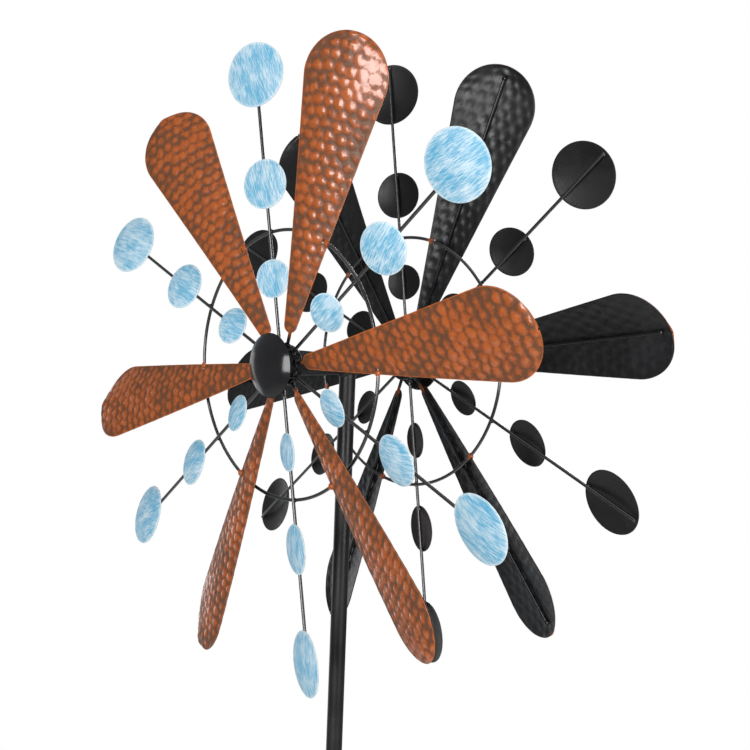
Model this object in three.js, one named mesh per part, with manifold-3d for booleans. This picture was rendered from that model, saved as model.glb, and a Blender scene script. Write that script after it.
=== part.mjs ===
// Two-rotor wind spinner on a plug-together pole with a ground fork.
// Millimetres, +Z up. Origin: underside of the fork's step bar, on the pole's axis.
// The front rotor faces -Y and the rear rotor, the same part turned round, faces +Y.
import * as THREE from 'three';
import { mergeVertices } from 'three/addons/utils/BufferGeometryUtils.js';
import Module from 'manifold-3d';

const wasm = await Module();
wasm.setup();
const { Manifold, Mesh: SolidMesh } = wasm;

// Driving sizes.
const GAP = 0.3;
const AXLE_HEIGHT = 1357;
const ROTOR_OFFSET = 84;
const PHASE = 9.1;
const SPOKES = 6;
// Degrees from a disc arm to the next blade, and how unevenly the spokes are welded on.
// Opposite arms share a value and neighbouring blades alternate, so each rotor stays balanced.
const BLADE_STEP = { front: 32, rear: 30 };
const ARM_SET = { front: [1.6, 0.8, -2.4], rear: [0.5, 1.6, -2.1] };
const BLADE_SET = { front: 1.7, rear: 0 };

const WIRE_R = 1.6;
const SHEET = 0.8;

const HUB = { r: 19, bore: 11.15, half: 10 };
const BEARING = { r: 11, bore: 4.25, width: 7, inset: 0.5 };
const CAP = { r: 30, rim: 13.9, dome: 10.5, wall: 1.0, collar: 1.2, back: 3.5 };
const RING = { r: 125.5, back: 2 * WIRE_R + GAP };

const BLADE = { root: 32.6, rootR: 7.1, tip: 267, tipR: 40.7, camber: 0.12, lift: 2.1 };
const BLADE_PITCH = { root: 15, tip: 25 };
const BLADE_WIRE = { end: 284, set: -2, lean: 1.65 };

const DISCS = [
  { at: 81, r: 18.1, sides: 16 },
  { at: 170.5, r: 23.4, sides: 20 },
  { at: 275, r: 30.7, sides: 24 },
];
const DISC_PITCH = 19;
const DISC_DOME = 0.12;
const ARM_END = 304;

const AXLE = { r: 4, half: 104 };
const TUBE = { r: 11, wall: 1.5, half: 70 };
const PLUG = { length: 12, flange: 2, nose: 1.9, noseR: 6 };
const NUT = { flats: 13, height: 8 };

const POLE = { r: 8, wall: 1.2, neck: 40, neckR: 6.5, neckWall: 1.2 };
const POLE_JOINTS = [450, 900];
const SCREW = { headR: 3.5, head: 2.4, shankR: 1.8, holeR: 2.1, below: 20, depth: 4 };

const FORK = { width: 124, depth: 20, thick: 4, prongR: 4, prong: 240, point: 24, stub: 60 };
const PRONG_X = [-52, -18, 18, 52];

// Materials.
const paint = (name, color, roughness, metalness) => {
  const material = new THREE.MeshStandardMaterial({ color, roughness, metalness });
  material.name = name;
  return material;
};
const BLACK = paint('black_enamel', 0x1b1b1d, 0.4, 0.3);
const COPPER = paint('copper_patina', 0xa8501f, 0.4, 0.6);
const BLUE = paint('brushed_blue', 0x78b6d8, 0.35, 0.4);
const STEEL = paint('zinc_steel', 0xa9adb2, 0.35, 0.9);

const X_AXIS = new THREE.Vector3(1, 0, 0);
const rad = THREE.MathUtils.degToRad;
const range = (n) => Array.from({ length: n }, (_, i) => i);

// Solid modelling helpers.
function toSolid(geometry) {
  const bare = geometry.clone();
  bare.deleteAttribute('normal');
  bare.deleteAttribute('uv');
  const welded = mergeVertices(bare, 1e-4);
  return new Manifold(new SolidMesh({
    numProp: 3,
    vertProperties: Float32Array.from(welded.getAttribute('position').array),
    triVerts: Uint32Array.from(welded.getIndex().array),
  }));
}

function toGeometry(solid) {
  const mesh = solid.getMesh();
  const geometry = new THREE.BufferGeometry();
  geometry.setAttribute('position', new THREE.BufferAttribute(Float32Array.from(mesh.vertProperties), 3));
  geometry.setIndex(new THREE.BufferAttribute(Uint32Array.from(mesh.triVerts), 1));
  return geometry;
}

const subtract = (body, ...tools) =>
  toGeometry(tools.reduce((solid, tool) => solid.subtract(toSolid(tool)), toSolid(body)));
const unite = (...parts) =>
  toGeometry(parts.slice(1).reduce((solid, part) => solid.add(toSolid(part)), toSolid(parts[0])));

// Revolves [radius, z] points about Z.
const turned = (profile, sides) =>
  new THREE.LatheGeometry(profile.map(([r, z]) => new THREE.Vector2(r, z)), sides).rotateX(Math.PI / 2);

const tube = (outer, inner, z0, z1, sides = 32) =>
  turned([[inner, z0], [outer, z0], [outer, z1], [inner, z1], [inner, z0]], sides);

const rod = (r, z0, z1, sides = 24) =>
  new THREE.CylinderGeometry(r, r, z1 - z0, sides).rotateX(Math.PI / 2).translate(0, 0, (z0 + z1) / 2);

// A rod along +X, as a spoke of a rotor.
const spoke = (r, x0, x1, sides = 10) =>
  new THREE.CylinderGeometry(r, r, x1 - x0, sides).rotateZ(-Math.PI / 2).translate((x0 + x1) / 2, 0, 0);

// Closes a thin sheet from a grid of front points; the back is one thickness below.
function sheetBetween(rows, thickness) {
  const across = rows[0].length;
  const count = rows.length * across;
  const front = rows.flat();
  const points = [...front, ...front.map(([x, y, z]) => [x, y, z - thickness])];
  const index = [];
  const quad = (a, b, c, d) => index.push(a, b, c, a, c, d);
  for (const i of range(rows.length - 1)) {
    for (const j of range(across - 1)) {
      const a = i * across + j;
      quad(a, a + across, a + across + 1, a + 1);
      quad(a + count, a + count + 1, a + count + across + 1, a + count + across);
    }
  }
  const rim = [
    ...range(across - 1),
    ...range(rows.length - 1).map((i) => i * across + across - 1),
    ...range(across - 1).map((j) => count - 1 - j),
    ...range(rows.length - 1).map((i) => count - across - i * across),
  ];
  rim.forEach((a, k) => {
    const b = rim[(k + 1) % rim.length];
    quad(a, b, b + count, a + count);
  });
  const geometry = new THREE.BufferGeometry();
  geometry.setAttribute('position', new THREE.Float32BufferAttribute(points.flat(), 3));
  geometry.setIndex(index);
  return geometry;
}

// Teardrop outline as [distance from the axle, half width] from root to tip.
function bladeOutline() {
  const { root, rootR, tip, tipR } = BLADE;
  const rootAt = root + rootR;
  const lean = Math.asin((tipR - rootR) / (tip - rootAt));
  const arc = (at, r, degrees) => [at + r * Math.cos(rad(degrees)), r * Math.sin(rad(degrees))];
  const leanDeg = THREE.MathUtils.radToDeg(lean);
  const start = arc(rootAt, rootR, 90 + leanDeg);
  const end = arc(tip, tipR, 90 + leanDeg);
  const straight = range(9).map((i) => [
    THREE.MathUtils.lerp(start[0], end[0], i / 8),
    THREE.MathUtils.lerp(start[1], end[1], i / 8),
  ]);
  return [
    ...[164, 138, 116].map((a) => arc(rootAt, rootR, a)),
    ...straight,
    ...[82, 66, 51, 37, 24, 12, 3].map((a) => arc(tip, tipR, a)),
  ];
}

// Leans a blade piece forwards with its wire.
const leaned = (geometry) =>
  geometry.rotateY(rad(-BLADE_WIRE.lean)).translate(0, 0, BLADE_WIRE.set);

// One blade along +X: twisted about its wire, arched towards +Z, notched for the ring.
function bladeGeometry() {
  const outline = bladeOutline();
  const [r0, w0] = outline[3];
  const [r1, w1] = outline[11];
  const taper = (x) => w0 + ((x - r0) * (w1 - w0)) / (r1 - r0);
  const rows = outline.map(([x, half]) => {
    const wide = Math.max(taper(x), half);
    const crown = BLADE.camber * wide * (half / wide) ** 0.35;
    const along = (x - BLADE.root) / (BLADE.tip + BLADE.tipR - BLADE.root);
    const pitch = rad(THREE.MathUtils.lerp(BLADE_PITCH.root, BLADE_PITCH.tip, along));
    return range(9).map((j) => {
      const t = -1 + j / 4;
      const z = BLADE.lift + SHEET - BLADE.camber * wide + crown * (1 - t * t);
      return new THREE.Vector3(x, t * half, z).applyAxisAngle(X_AXIS, pitch).toArray();
    });
  });
  const sheet = leaned(sheetBetween(rows, SHEET));
  const clear = WIRE_R + 1.2 * GAP;
  const notch = tube(RING.r + clear, RING.r - clear, -20, -RING.back + clear, 90);
  return subtract(sheet, notch);
}

// A dished disc facing +Z with its rim plane just inside the wire's surface.
function discGeometry({ at, r, sides }) {
  const rim = WIRE_R - 0.4;
  const dome = DISC_DOME * r;
  const height = (share) => rim + dome * (1 - share * share);
  const profile = [
    [0, height(0)],
    [0.6 * r, height(0.6)],
    [r, height(1)],
    [r, height(1) + SHEET],
    [0.6 * r, height(0.6) + SHEET],
    [0, height(0) + SHEET],
  ];
  return turned(profile, sides).rotateX(rad(DISC_PITCH)).translate(at, 0, 0);
}

const armGeometry = () => unite(spoke(WIRE_R, HUB.r + GAP, ARM_END), ...DISCS.map(discGeometry));

function capGeometry() {
  const { r, rim, dome, wall, collar, back } = CAP;
  const ball = (r * r + dome * dome) / (2 * dome);
  const outside = (x) => rim - (ball - dome) + Math.sqrt(ball * ball - x * x);
  const collarIn = HUB.r + GAP;
  const collarOut = collarIn + collar;
  const shell = (shares) => shares.map((s) => [s * r, outside(s * r)]);
  const under = (x) => [x, outside(x) - wall];
  return turned([
    [0, outside(0) - wall],
    under(10),
    under(collarIn),
    [collarIn, back],
    [collarOut, back],
    under(collarOut),
    under(26),
    [r - wall, rim],
    ...shell([1, 0.9, 0.76, 0.6, 0.4, 0.2, 0]),
  ], 28);
}

const bearingGeometry = (z) => tube(BEARING.r, BEARING.bore, z - BEARING.width / 2, z + BEARING.width / 2, 24);

// Puts a rotor piece, drawn facing +Z about the axle, on its side of the pole.
function place(geometry, side, turn = 0) {
  const placed = geometry.clone().rotateZ(rad(turn)).translate(0, 0, ROTOR_OFFSET).rotateX(Math.PI / 2);
  if (side === 'rear') placed.rotateZ(Math.PI);
  return placed.translate(0, 0, AXLE_HEIGHT);
}

function makeNode(root, name, geometry, material) {
  const mesh = new THREE.Mesh(geometry, material.clone());
  mesh.name = name;
  root.add(mesh);
}

function addRotor(root, side) {
  const sense = side === 'front' ? 1 : -1;
  const start = 90 + sense * PHASE;
  const blade = bladeGeometry();
  const bladeWire = leaned(spoke(WIRE_R, HUB.r + 2 * GAP, BLADE_WIRE.end));
  const arm = armGeometry();
  const bearingAt = HUB.half - BEARING.inset - BEARING.width / 2;
  const add = (name, geometry, material, turn = 0) =>
    makeNode(root, `${side}_${name}`, place(geometry, side, turn), material);

  add('hub', tube(HUB.r, HUB.bore, -HUB.half, HUB.half), BLACK);
  add('bearing_inner', bearingGeometry(-bearingAt), STEEL);
  add('bearing_outer', bearingGeometry(bearingAt), STEEL);
  add('cap', capGeometry(), BLACK);
  add('ring', new THREE.TorusGeometry(RING.r, WIRE_R, 8, 66).translate(0, 0, -RING.back), BLACK);
  for (const k of range(SPOKES)) {
    const turn = start - k * 360 / SPOKES;
    add(`disc_arm_${k + 1}`, arm, BLUE, turn + ARM_SET[side][k % 3]);
    const bladeTurn = turn - 360 / SPOKES + BLADE_STEP[side] + (-1) ** k * BLADE_SET[side];
    add(`blade_wire_${k + 1}`, bladeWire, BLACK, bladeTurn);
    add(`blade_${k + 1}`, blade, COPPER, bladeTurn);
  }
}

// Pieces on the axle that stay still while the rotors turn.
const alongAxle = (geometry, side) => {
  const placed = geometry.rotateX(Math.PI / 2);
  if (side === 'rear') placed.rotateZ(Math.PI);
  return placed.translate(0, 0, AXLE_HEIGHT);
};

function endPlugGeometry() {
  const bore = BEARING.bore;
  const inner = TUBE.r - TUBE.wall - GAP;
  const face = TUBE.half + GAP;
  const nose = face + PLUG.flange + PLUG.nose - GAP;
  return turned([
    [bore, face - PLUG.length],
    [inner, face - PLUG.length],
    [inner, face],
    [TUBE.r, face],
    [TUBE.r, face + PLUG.flange],
    [PLUG.noseR, face + PLUG.flange],
    [PLUG.noseR, nose],
    [bore, nose],
    [bore, face - PLUG.length],
  ], 32);
}

function lockNutGeometry() {
  const z0 = ROTOR_OFFSET + HUB.half - BEARING.inset + GAP;
  const hexR = NUT.flats / 2 / Math.cos(Math.PI / 6);
  const hex = rod(hexR, z0, z0 + NUT.height, 6);
  return subtract(hex, rod(BEARING.bore, z0 - 1, z0 + NUT.height + 1));
}

function addHead(root) {
  makeNode(root, 'axle_tube', alongAxle(tube(TUBE.r, TUBE.r - TUBE.wall, -TUBE.half, TUBE.half)), BLACK);
  makeNode(root, 'axle_shaft', alongAxle(rod(AXLE.r, -AXLE.half, AXLE.half)), STEEL);
  for (const side of ['front', 'rear']) {
    makeNode(root, `${side}_end_plug`, alongAxle(endPlugGeometry(), side), STEEL);
    makeNode(root, `${side}_lock_nut`, alongAxle(lockNutGeometry(), side), STEEL);
  }
}

// A screw along +X through the pole wall at height z.
const screwHole = (z) => spoke(SCREW.holeR, 1, POLE.r + 2, 16).translate(0, 0, z);
function screwGeometry(z) {
  const face = POLE.r + GAP;
  const shank = spoke(SCREW.shankR, SCREW.depth, face + 1, 16);
  return unite(shank, spoke(SCREW.headR, face, face + SCREW.head, 20)).translate(0, 0, z);
}

// One pole section from z0 to z1; a necked section plugs into the one below.
function poleSection(z0, z1, necked) {
  const inner = POLE.r - POLE.wall;
  const { neckR, neck } = POLE;
  const neckIn = neckR - POLE.neckWall;
  const profile = necked
    ? [[neckIn, z0 - neck], [neckR, z0 - neck], [neckR, z0], [POLE.r, z0 + GAP], [POLE.r, z1],
      [inner, z1], [inner, z0 + 4], [neckIn, z0 + 1], [neckIn, z0 - neck]]
    : [[inner, z0], [POLE.r, z0], [POLE.r, z1], [inner, z1], [inner, z0]];
  return turned(profile, 32);
}

function forkGeometry() {
  const { width, depth, thick, prongR, prong, point, stub } = FORK;
  const bar = new THREE.BoxGeometry(width, depth, thick).translate(0, 0, thick / 2);
  const spike = turned([[0, -prong], [prongR, point - prong], [prongR, thick / 2], [0, thick / 2]], 12);
  const post = rod(POLE.neckR, thick / 2, thick + stub);
  const prongs = PRONG_X.map((x) => spike.clone().translate(x, 0, 0));
  return subtract(unite(bar, post, ...prongs), screwHole(thick + SCREW.below));
}

function addStand(root) {
  const [lower, upper] = POLE_JOINTS;
  const foot = FORK.thick + GAP;
  const saddle = rod(TUBE.r + GAP, -40, 40, 64).rotateX(Math.PI / 2).translate(0, 0, AXLE_HEIGHT);
  const topHole = screwHole(upper - SCREW.below);
  const lowHole = screwHole(lower - SCREW.below);
  const footHole = screwHole(FORK.thick + SCREW.below);
  const poleUpper = subtract(poleSection(upper, AXLE_HEIGHT - 4, true), saddle, topHole);
  const poleMiddle = subtract(poleSection(lower, upper, true), topHole, lowHole);
  const poleLower = subtract(poleSection(foot, lower, false), lowHole, footHole);
  makeNode(root, 'pole_upper', poleUpper, BLACK);
  makeNode(root, 'pole_middle', poleMiddle, BLACK);
  makeNode(root, 'pole_lower', poleLower, BLACK);
  makeNode(root, 'ground_fork', forkGeometry(), BLACK);
  makeNode(root, 'pole_screw_upper', screwGeometry(upper - SCREW.below), STEEL);
  makeNode(root, 'pole_screw_lower', screwGeometry(lower - SCREW.below), STEEL);
  makeNode(root, 'pole_screw_fork', screwGeometry(FORK.thick + SCREW.below), STEEL);
}

const spinner = new THREE.Group();
spinner.name = 'wind_spinner';
addStand(spinner);
addHead(spinner);
addRotor(spinner, 'front');
addRotor(spinner, 'rear');

export default spinner;
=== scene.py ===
"""Garden wind spinner: two hammered rotors on a plug-together pole with a ground fork.

Metres, +Z up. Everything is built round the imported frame. The front rotor faces -Y and the
rear rotor, the same part turned round, faces +Y.
"""

import math
import random

import bmesh
import bpy
import numpy as np
from mathutils import Matrix, Quaternion, Vector


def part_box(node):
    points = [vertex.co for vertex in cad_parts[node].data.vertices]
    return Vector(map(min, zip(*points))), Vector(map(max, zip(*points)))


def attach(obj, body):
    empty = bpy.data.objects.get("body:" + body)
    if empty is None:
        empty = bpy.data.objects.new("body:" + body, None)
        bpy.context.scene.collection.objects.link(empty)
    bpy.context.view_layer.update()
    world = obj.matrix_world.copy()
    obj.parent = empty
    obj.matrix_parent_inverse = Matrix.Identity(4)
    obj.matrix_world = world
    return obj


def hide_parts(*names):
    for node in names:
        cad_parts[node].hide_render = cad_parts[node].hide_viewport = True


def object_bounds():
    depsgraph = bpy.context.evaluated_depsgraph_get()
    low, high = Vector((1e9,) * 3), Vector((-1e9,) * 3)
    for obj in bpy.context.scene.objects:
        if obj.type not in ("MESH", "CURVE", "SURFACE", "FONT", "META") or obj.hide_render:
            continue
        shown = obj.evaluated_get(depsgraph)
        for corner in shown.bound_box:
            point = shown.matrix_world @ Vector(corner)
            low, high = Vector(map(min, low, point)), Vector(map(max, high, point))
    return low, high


bl_info = {
    "name": "Wind Spinner",
    "version": (1, 0, 0),
    "blender": (4, 5, 0),
    "location": "3D View > Sidebar > Wind Spinner",
    "description": "Builds a garden wind spinner with two hammered rotors",
    "category": "Add Mesh",
}

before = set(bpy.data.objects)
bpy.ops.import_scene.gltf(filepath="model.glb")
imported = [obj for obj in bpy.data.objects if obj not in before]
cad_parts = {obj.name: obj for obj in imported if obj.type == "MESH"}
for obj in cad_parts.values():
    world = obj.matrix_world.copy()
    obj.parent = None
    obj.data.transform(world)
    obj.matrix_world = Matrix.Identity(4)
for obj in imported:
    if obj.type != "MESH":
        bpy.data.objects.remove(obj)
CAD_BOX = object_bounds()

SIDES = ("front", "rear")
ROTOR_BODY = {"front": "front_rotor", "rear": "rear_rotor"}
STAND = "stand"
FULL_TURN = 2 * math.pi


def node_size(node):
    """Width, depth and height of a frame node."""
    low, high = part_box(node)
    return high - low


def node_centre(node):
    """Middle of a frame node's box."""
    low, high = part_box(node)
    return (low + high) / 2


AXLE_Z = node_centre("axle_shaft").z
ROTOR_Y = node_centre("rear_hub").y
WIRE_R = 0.0016

# Clearance between pieces that are pressed or welded together.
GAP = 0.0003

# Radius of the holes that the axle runs through.
AXLE_BORE = 0.00425


# ---------------------------------------------------------------- settings


def length(name, default, description):
    """A length in metres that a user may change."""
    return bpy.props.FloatProperty(
        name=name, default=default, description=description, unit="LENGTH", precision=4
    )


def angle(name, degrees, description):
    """An angle that a user may change."""
    return bpy.props.FloatProperty(
        name=name, default=math.radians(degrees), description=description, subtype="ANGLE"
    )


def colour(name, default, description):
    """A linear colour that a user may change."""
    return bpy.props.FloatVectorProperty(
        name=name, default=default, size=4, min=0, max=1, description=description, subtype="COLOR"
    )


def factor(name, default, description):
    """A share from 0 to 1 that a user may change."""
    return bpy.props.FloatProperty(
        name=name, default=default, min=0, max=1, description=description, subtype="FACTOR"
    )


class RotorSettings(bpy.types.PropertyGroup):
    spokes: bpy.props.IntProperty(name="Blades", default=6, description="Blades on each rotor")
    phase: angle("Phase", 9.1, "How far each rotor is turned from upright")
    front_step: angle("Front step", 32, "Angle from a front disc arm to the next blade")
    rear_step: angle("Rear step", 30, "Angle from a rear disc arm to the next blade")
    wire_radius: length("Wire radius", WIRE_R, "Radius of the spokes and rings")
    ring_radius: length(
        "Ring radius", node_size("front_ring").x / 2 - WIRE_R, "Radius of the stiffening ring"
    )
    ring_back: length("Ring set-back", 0.0035, "How far the ring lies behind the disc arms")
    hub_radius: length("Hub radius", node_size("front_hub").x / 2, "Radius of the hub")
    hub_half: length("Hub half length", node_size("front_hub").y / 2, "Half the hub's length")
    cap_radius: length("Cap radius", node_size("front_cap").x / 2, "Radius of the domed cap")


class BladeSettings(bpy.types.PropertyGroup):
    root: length("Root", 0.0326, "Distance from the axle to the blade's inner end")
    root_radius: length("Root radius", 0.0071, "Radius of the inner end")
    tip: length("Tip centre", 0.267, "Distance from the axle to the centre of the tip")
    tip_radius: length("Tip radius", 0.0407, "Radius of the rounded tip")
    thickness: length("Sheet", 0.0008, "Thickness of the sheet")
    lift: length("Lift", 0.0021, "Height of the back of the sheet over the wire's centre")
    camber: factor("Camber", 0.12, "Arch of the blade as a share of its half width")
    pitch_root: angle("Root pitch", 15, "Pitch at the inner end")
    pitch_tip: angle("Tip pitch", 25, "Pitch at the tip")
    lean: angle("Lean", 1.65, "How far the blades lean forwards")
    set_back: length("Set-back", 0.002, "How far the blade wires lie behind the disc arms")
    wire_end: length("Wire end", 0.2965, "Distance from the axle to the end of a blade wire")
    mark_across: length("Mark width", 0.0112, "Width of a hammer mark across the blade")
    mark_along: length("Mark length", 0.0100, "Spacing of the rows of hammer marks")
    mark_depth: length("Mark depth", 0.0009, "Depth of the hammering")


class DiscSettings(bpy.types.PropertyGroup):
    distances: bpy.props.FloatVectorProperty(
        name="Distances", default=(0.081, 0.1705, 0.275), size=3, unit="LENGTH",
        description="Distances from the axle to the disc centres",
    )
    radii: bpy.props.FloatVectorProperty(
        name="Radii", default=(0.0181, 0.0234, 0.0307), size=3, unit="LENGTH",
        description="Radii of the discs from the axle outwards",
    )
    pitch: angle("Pitch", 19, "Pitch of the discs")
    dome: factor("Dome", 0.12, "Height of the dome as a share of the radius")
    thickness: length("Sheet", 0.0008, "Thickness of the sheet")
    wire_end: length("Wire end", 0.304, "Distance from the axle to the end of a disc arm")


class StandSettings(bpy.types.PropertyGroup):
    pole_radius: length("Pole radius", node_size("pole_lower").x / 2, "Radius of the pole")
    pole_wall: length("Pole wall", 0.0012, "Wall of the pole")
    neck_radius: length("Neck radius", 0.0065, "Radius of a section's plug-in neck")
    neck_length: length("Neck length", 0.040, "Length of a section's plug-in neck")
    tube_radius: length("Axle tube radius", node_size("axle_tube").x / 2, "Radius of the tube")
    tube_wall: length("Axle tube wall", 0.0015, "Wall of the axle tube")
    bar_thickness: length("Bar thickness", 0.004, "Thickness of the fork's step bar")
    prong_radius: length("Prong radius", 0.004, "Radius of a prong")
    prong_length: length("Prong length", 0.240, "Length of a prong below the bar's underside")
    prong_point: length("Prong point", 0.024, "Length of a prong's point")


class FinishSettings(bpy.types.PropertyGroup):
    copper: colour("Copper", (0.52, 0.115, 0.014, 1), "Bright orange crowns of the hammering")
    # This brown also serves as painted shade in the valleys of the hammer marks, besides the patina
    # there.
    patina: colour("Patina", (0.145, 0.052, 0.019, 1), "Brown left in the valleys")
    black: colour("Black", (0.0085, 0.0085, 0.0095, 1), "Black enamel")
    blue: colour("Blue", (0.085, 0.42, 0.66, 1), "Brushed blue of the discs")
    pale: colour("Pale", (0.72, 0.86, 0.93, 1), "White brushed over the blue")
    steel: colour("Steel", (0.42, 0.43, 0.45, 1), "Zinc-plated steel")


class StageSettings(bpy.types.PropertyGroup):
    floor_radius: length("Floor radius", 2.6, "Radius of the pale floor")
    distance: length("Camera distance", 1.207, "Distance from the camera to the axle")
    azimuth: angle("Azimuth", 47.2, "Camera angle round the pole from the front")
    elevation: angle("Elevation", 4.17, "Camera angle above the horizon")
    roll: angle("Roll", 2.08, "How far the camera is turned about its view")
    lens: bpy.props.FloatProperty(name="Lens", default=59.45, description="Lens length in mm")


class SpinnerSettings(bpy.types.PropertyGroup):
    rotor: bpy.props.PointerProperty(type=RotorSettings)
    blade: bpy.props.PointerProperty(type=BladeSettings)
    disc: bpy.props.PointerProperty(type=DiscSettings)
    stand: bpy.props.PointerProperty(type=StandSettings)
    finish: bpy.props.PointerProperty(type=FinishSettings)
    stage: bpy.props.PointerProperty(type=StageSettings)


def settings():
    """The spinner's settings on the current scene."""
    return bpy.context.scene.wind_spinner


# Small welding errors, the same on opposite arms, that keep each rotor balanced.
ARM_SET = {"front": (1.6, 0.8, -2.4), "rear": (0.5, 1.6, -2.1)}
BLADE_SET = {"front": 1.7, "rear": 0.0}


def spoke_turn(side, index):
    """Angle of an evenly spaced spoke about the axle."""
    rotor = settings().rotor
    sense = 1 if side == "front" else -1
    return math.pi / 2 + sense * rotor.phase - index * FULL_TURN / rotor.spokes


def arm_turn(side, index):
    """Angle of a disc arm about the axle."""
    uneven = ARM_SET[side]
    return spoke_turn(side, index) + math.radians(uneven[index % len(uneven)])


def blade_turn(side, index):
    """Angle of a blade about the axle."""
    rotor = settings().rotor
    step = rotor.front_step if side == "front" else rotor.rear_step
    uneven = (-1) ** index * math.radians(BLADE_SET[side])
    return spoke_turn(side, index + 1) + step + uneven


def axle_matrix(side="front"):
    """Puts a piece drawn along +Z on the axle, pointing to its side."""
    facing = Matrix.Rotation(math.pi, 4, "Z") if side == "rear" else Matrix()
    return Matrix.Translation((0, 0, AXLE_Z)) @ facing @ Matrix.Rotation(math.pi / 2, 4, "X")


def rotor_matrix(side, turn=0.0):
    """Puts a piece drawn along +X and facing +Z on its side of the pole."""
    out = Matrix.Translation((0, 0, ROTOR_Y))
    return axle_matrix(side) @ out @ Matrix.Rotation(turn, 4, "Z")


def blade_lean():
    """Leans a blade and its wire forwards."""
    blade = settings().blade
    return Matrix.Translation((0, 0, -blade.set_back)) @ Matrix.Rotation(-blade.lean, 4, "Y")


# ---------------------------------------------------------------- mesh helpers


WIRE_SIDES = 20


def lathe(profile, steps=64, closed=True):
    """Spins [radius, height] points about Z."""
    bm = bmesh.new()
    verts = [bm.verts.new((radius, 0, height)) for radius, height in profile]
    edges = [bm.edges.new(pair) for pair in zip(verts, verts[1:])]
    if closed:
        edges.append(bm.edges.new((verts[-1], verts[0])))
    bmesh.ops.spin(
        bm, geom=verts + edges, cent=(0, 0, 0), axis=(0, 0, 1), angle=FULL_TURN,
        steps=steps, use_merge=True,
    )
    bmesh.ops.remove_doubles(bm, verts=bm.verts, dist=1e-6)
    bmesh.ops.recalc_face_normals(bm, faces=bm.faces)
    return bm


def rod_profile(radius, start, end, cuts=1, round_by=0.0006):
    """Profile of a solid rod with rounded ends."""
    corner = [(0.0, 0.0), (0.7, 0.0), (0.93, 0.3), (1.0, 1.0)]
    low = [(radius * share, start + round_by * rise) for share, rise in corner]
    high = [(radius * share, end - round_by * rise) for share, rise in reversed(corner)]
    first, last = start + round_by, end - round_by
    middle = [(radius, first + (last - first) * i / cuts) for i in range(1, cuts)]
    return low + middle + high


def tube_profile(inner, outer, low, high, bevel):
    """Profile of a tube with bevelled ends."""
    return [
        (inner, low + bevel), (inner + bevel, low), (outer - bevel, low), (outer, low + bevel),
        (outer, high - bevel), (outer - bevel, high), (inner + bevel, high), (inner, high - bevel),
    ]


def wire_ring(radius, wire_radius, segments, steps):
    """A round wire bent into a ring about Z."""
    bm = bmesh.new()
    place = Matrix.Translation((radius, 0, 0)) @ Matrix.Rotation(math.pi / 2, 4, "X")
    bmesh.ops.create_circle(bm, segments=segments, radius=wire_radius, matrix=place)
    bmesh.ops.spin(
        bm, geom=bm.verts[:] + bm.edges[:], cent=(0, 0, 0), axis=(0, 0, 1), angle=FULL_TURN,
        steps=steps, use_merge=True,
    )
    bmesh.ops.recalc_face_normals(bm, faces=bm.faces)
    return bm


def straight_wire(clear, end, cuts):
    """A spoke's wire along +X, starting clear of the hub."""
    rotor = settings().rotor
    profile = rod_profile(rotor.wire_radius, rotor.hub_radius + clear, end, cuts)
    bm = lathe(profile, WIRE_SIDES, closed=False)
    bmesh.ops.rotate(bm, verts=bm.verts, matrix=Matrix.Rotation(math.pi / 2, 3, "Y"))
    return bm


def polar(radius, turn, height):
    """A point at an angle about Z."""
    return (radius * math.cos(turn), radius * math.sin(turn), height)


def add_bead(bm, centre, size, rng, flat=1.0):
    """Adds one lumpy weld bead."""
    turn = Matrix.Rotation(rng.uniform(0, FULL_TURN), 4, "Z")
    shape = Matrix.Diagonal((size, size * rng.uniform(0.8, 1.05), size * flat, 1))
    matrix = Matrix.Translation(centre) @ turn @ shape
    made = bmesh.ops.create_icosphere(bm, subdivisions=3, radius=1, matrix=matrix)
    for vert in made["verts"]:
        out = vert.co - Vector(centre)
        ripple = math.sin(out.x * 5200 + centre[0] * 900) * math.sin(out.y * 4300 + 1)
        vert.co += out * 0.07 * ripple
    return made["verts"]


def paint_points(bm, name, rule):
    """Writes a value on every vertex, for the materials to read."""
    layer = bm.verts.layers.float.get(name) or bm.verts.layers.float.new(name)
    for vert in bm.verts:
        vert[layer] = rule(vert.co)


def make_piece(name, bm, finishes, body, matrix=None, replaces=(), sharp=40):
    """Turns a bmesh into a piece that rides on a body."""
    if matrix is not None:
        bmesh.ops.transform(bm, matrix=matrix, verts=bm.verts)
    for face in bm.faces:
        face.smooth = True
    mesh = bpy.data.meshes.new(name)
    bm.to_mesh(mesh)
    bm.free()
    mesh.set_sharp_from_angle(angle=math.radians(sharp))
    for finish in finishes:
        mesh.materials.append(finish_named(finish))
    piece = bpy.data.objects.new(name, mesh)
    bpy.context.scene.collection.objects.link(piece)
    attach(piece, body)
    if replaces:
        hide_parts(*replaces)
    return piece


# ---------------------------------------------------------------- shader groups


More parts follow.
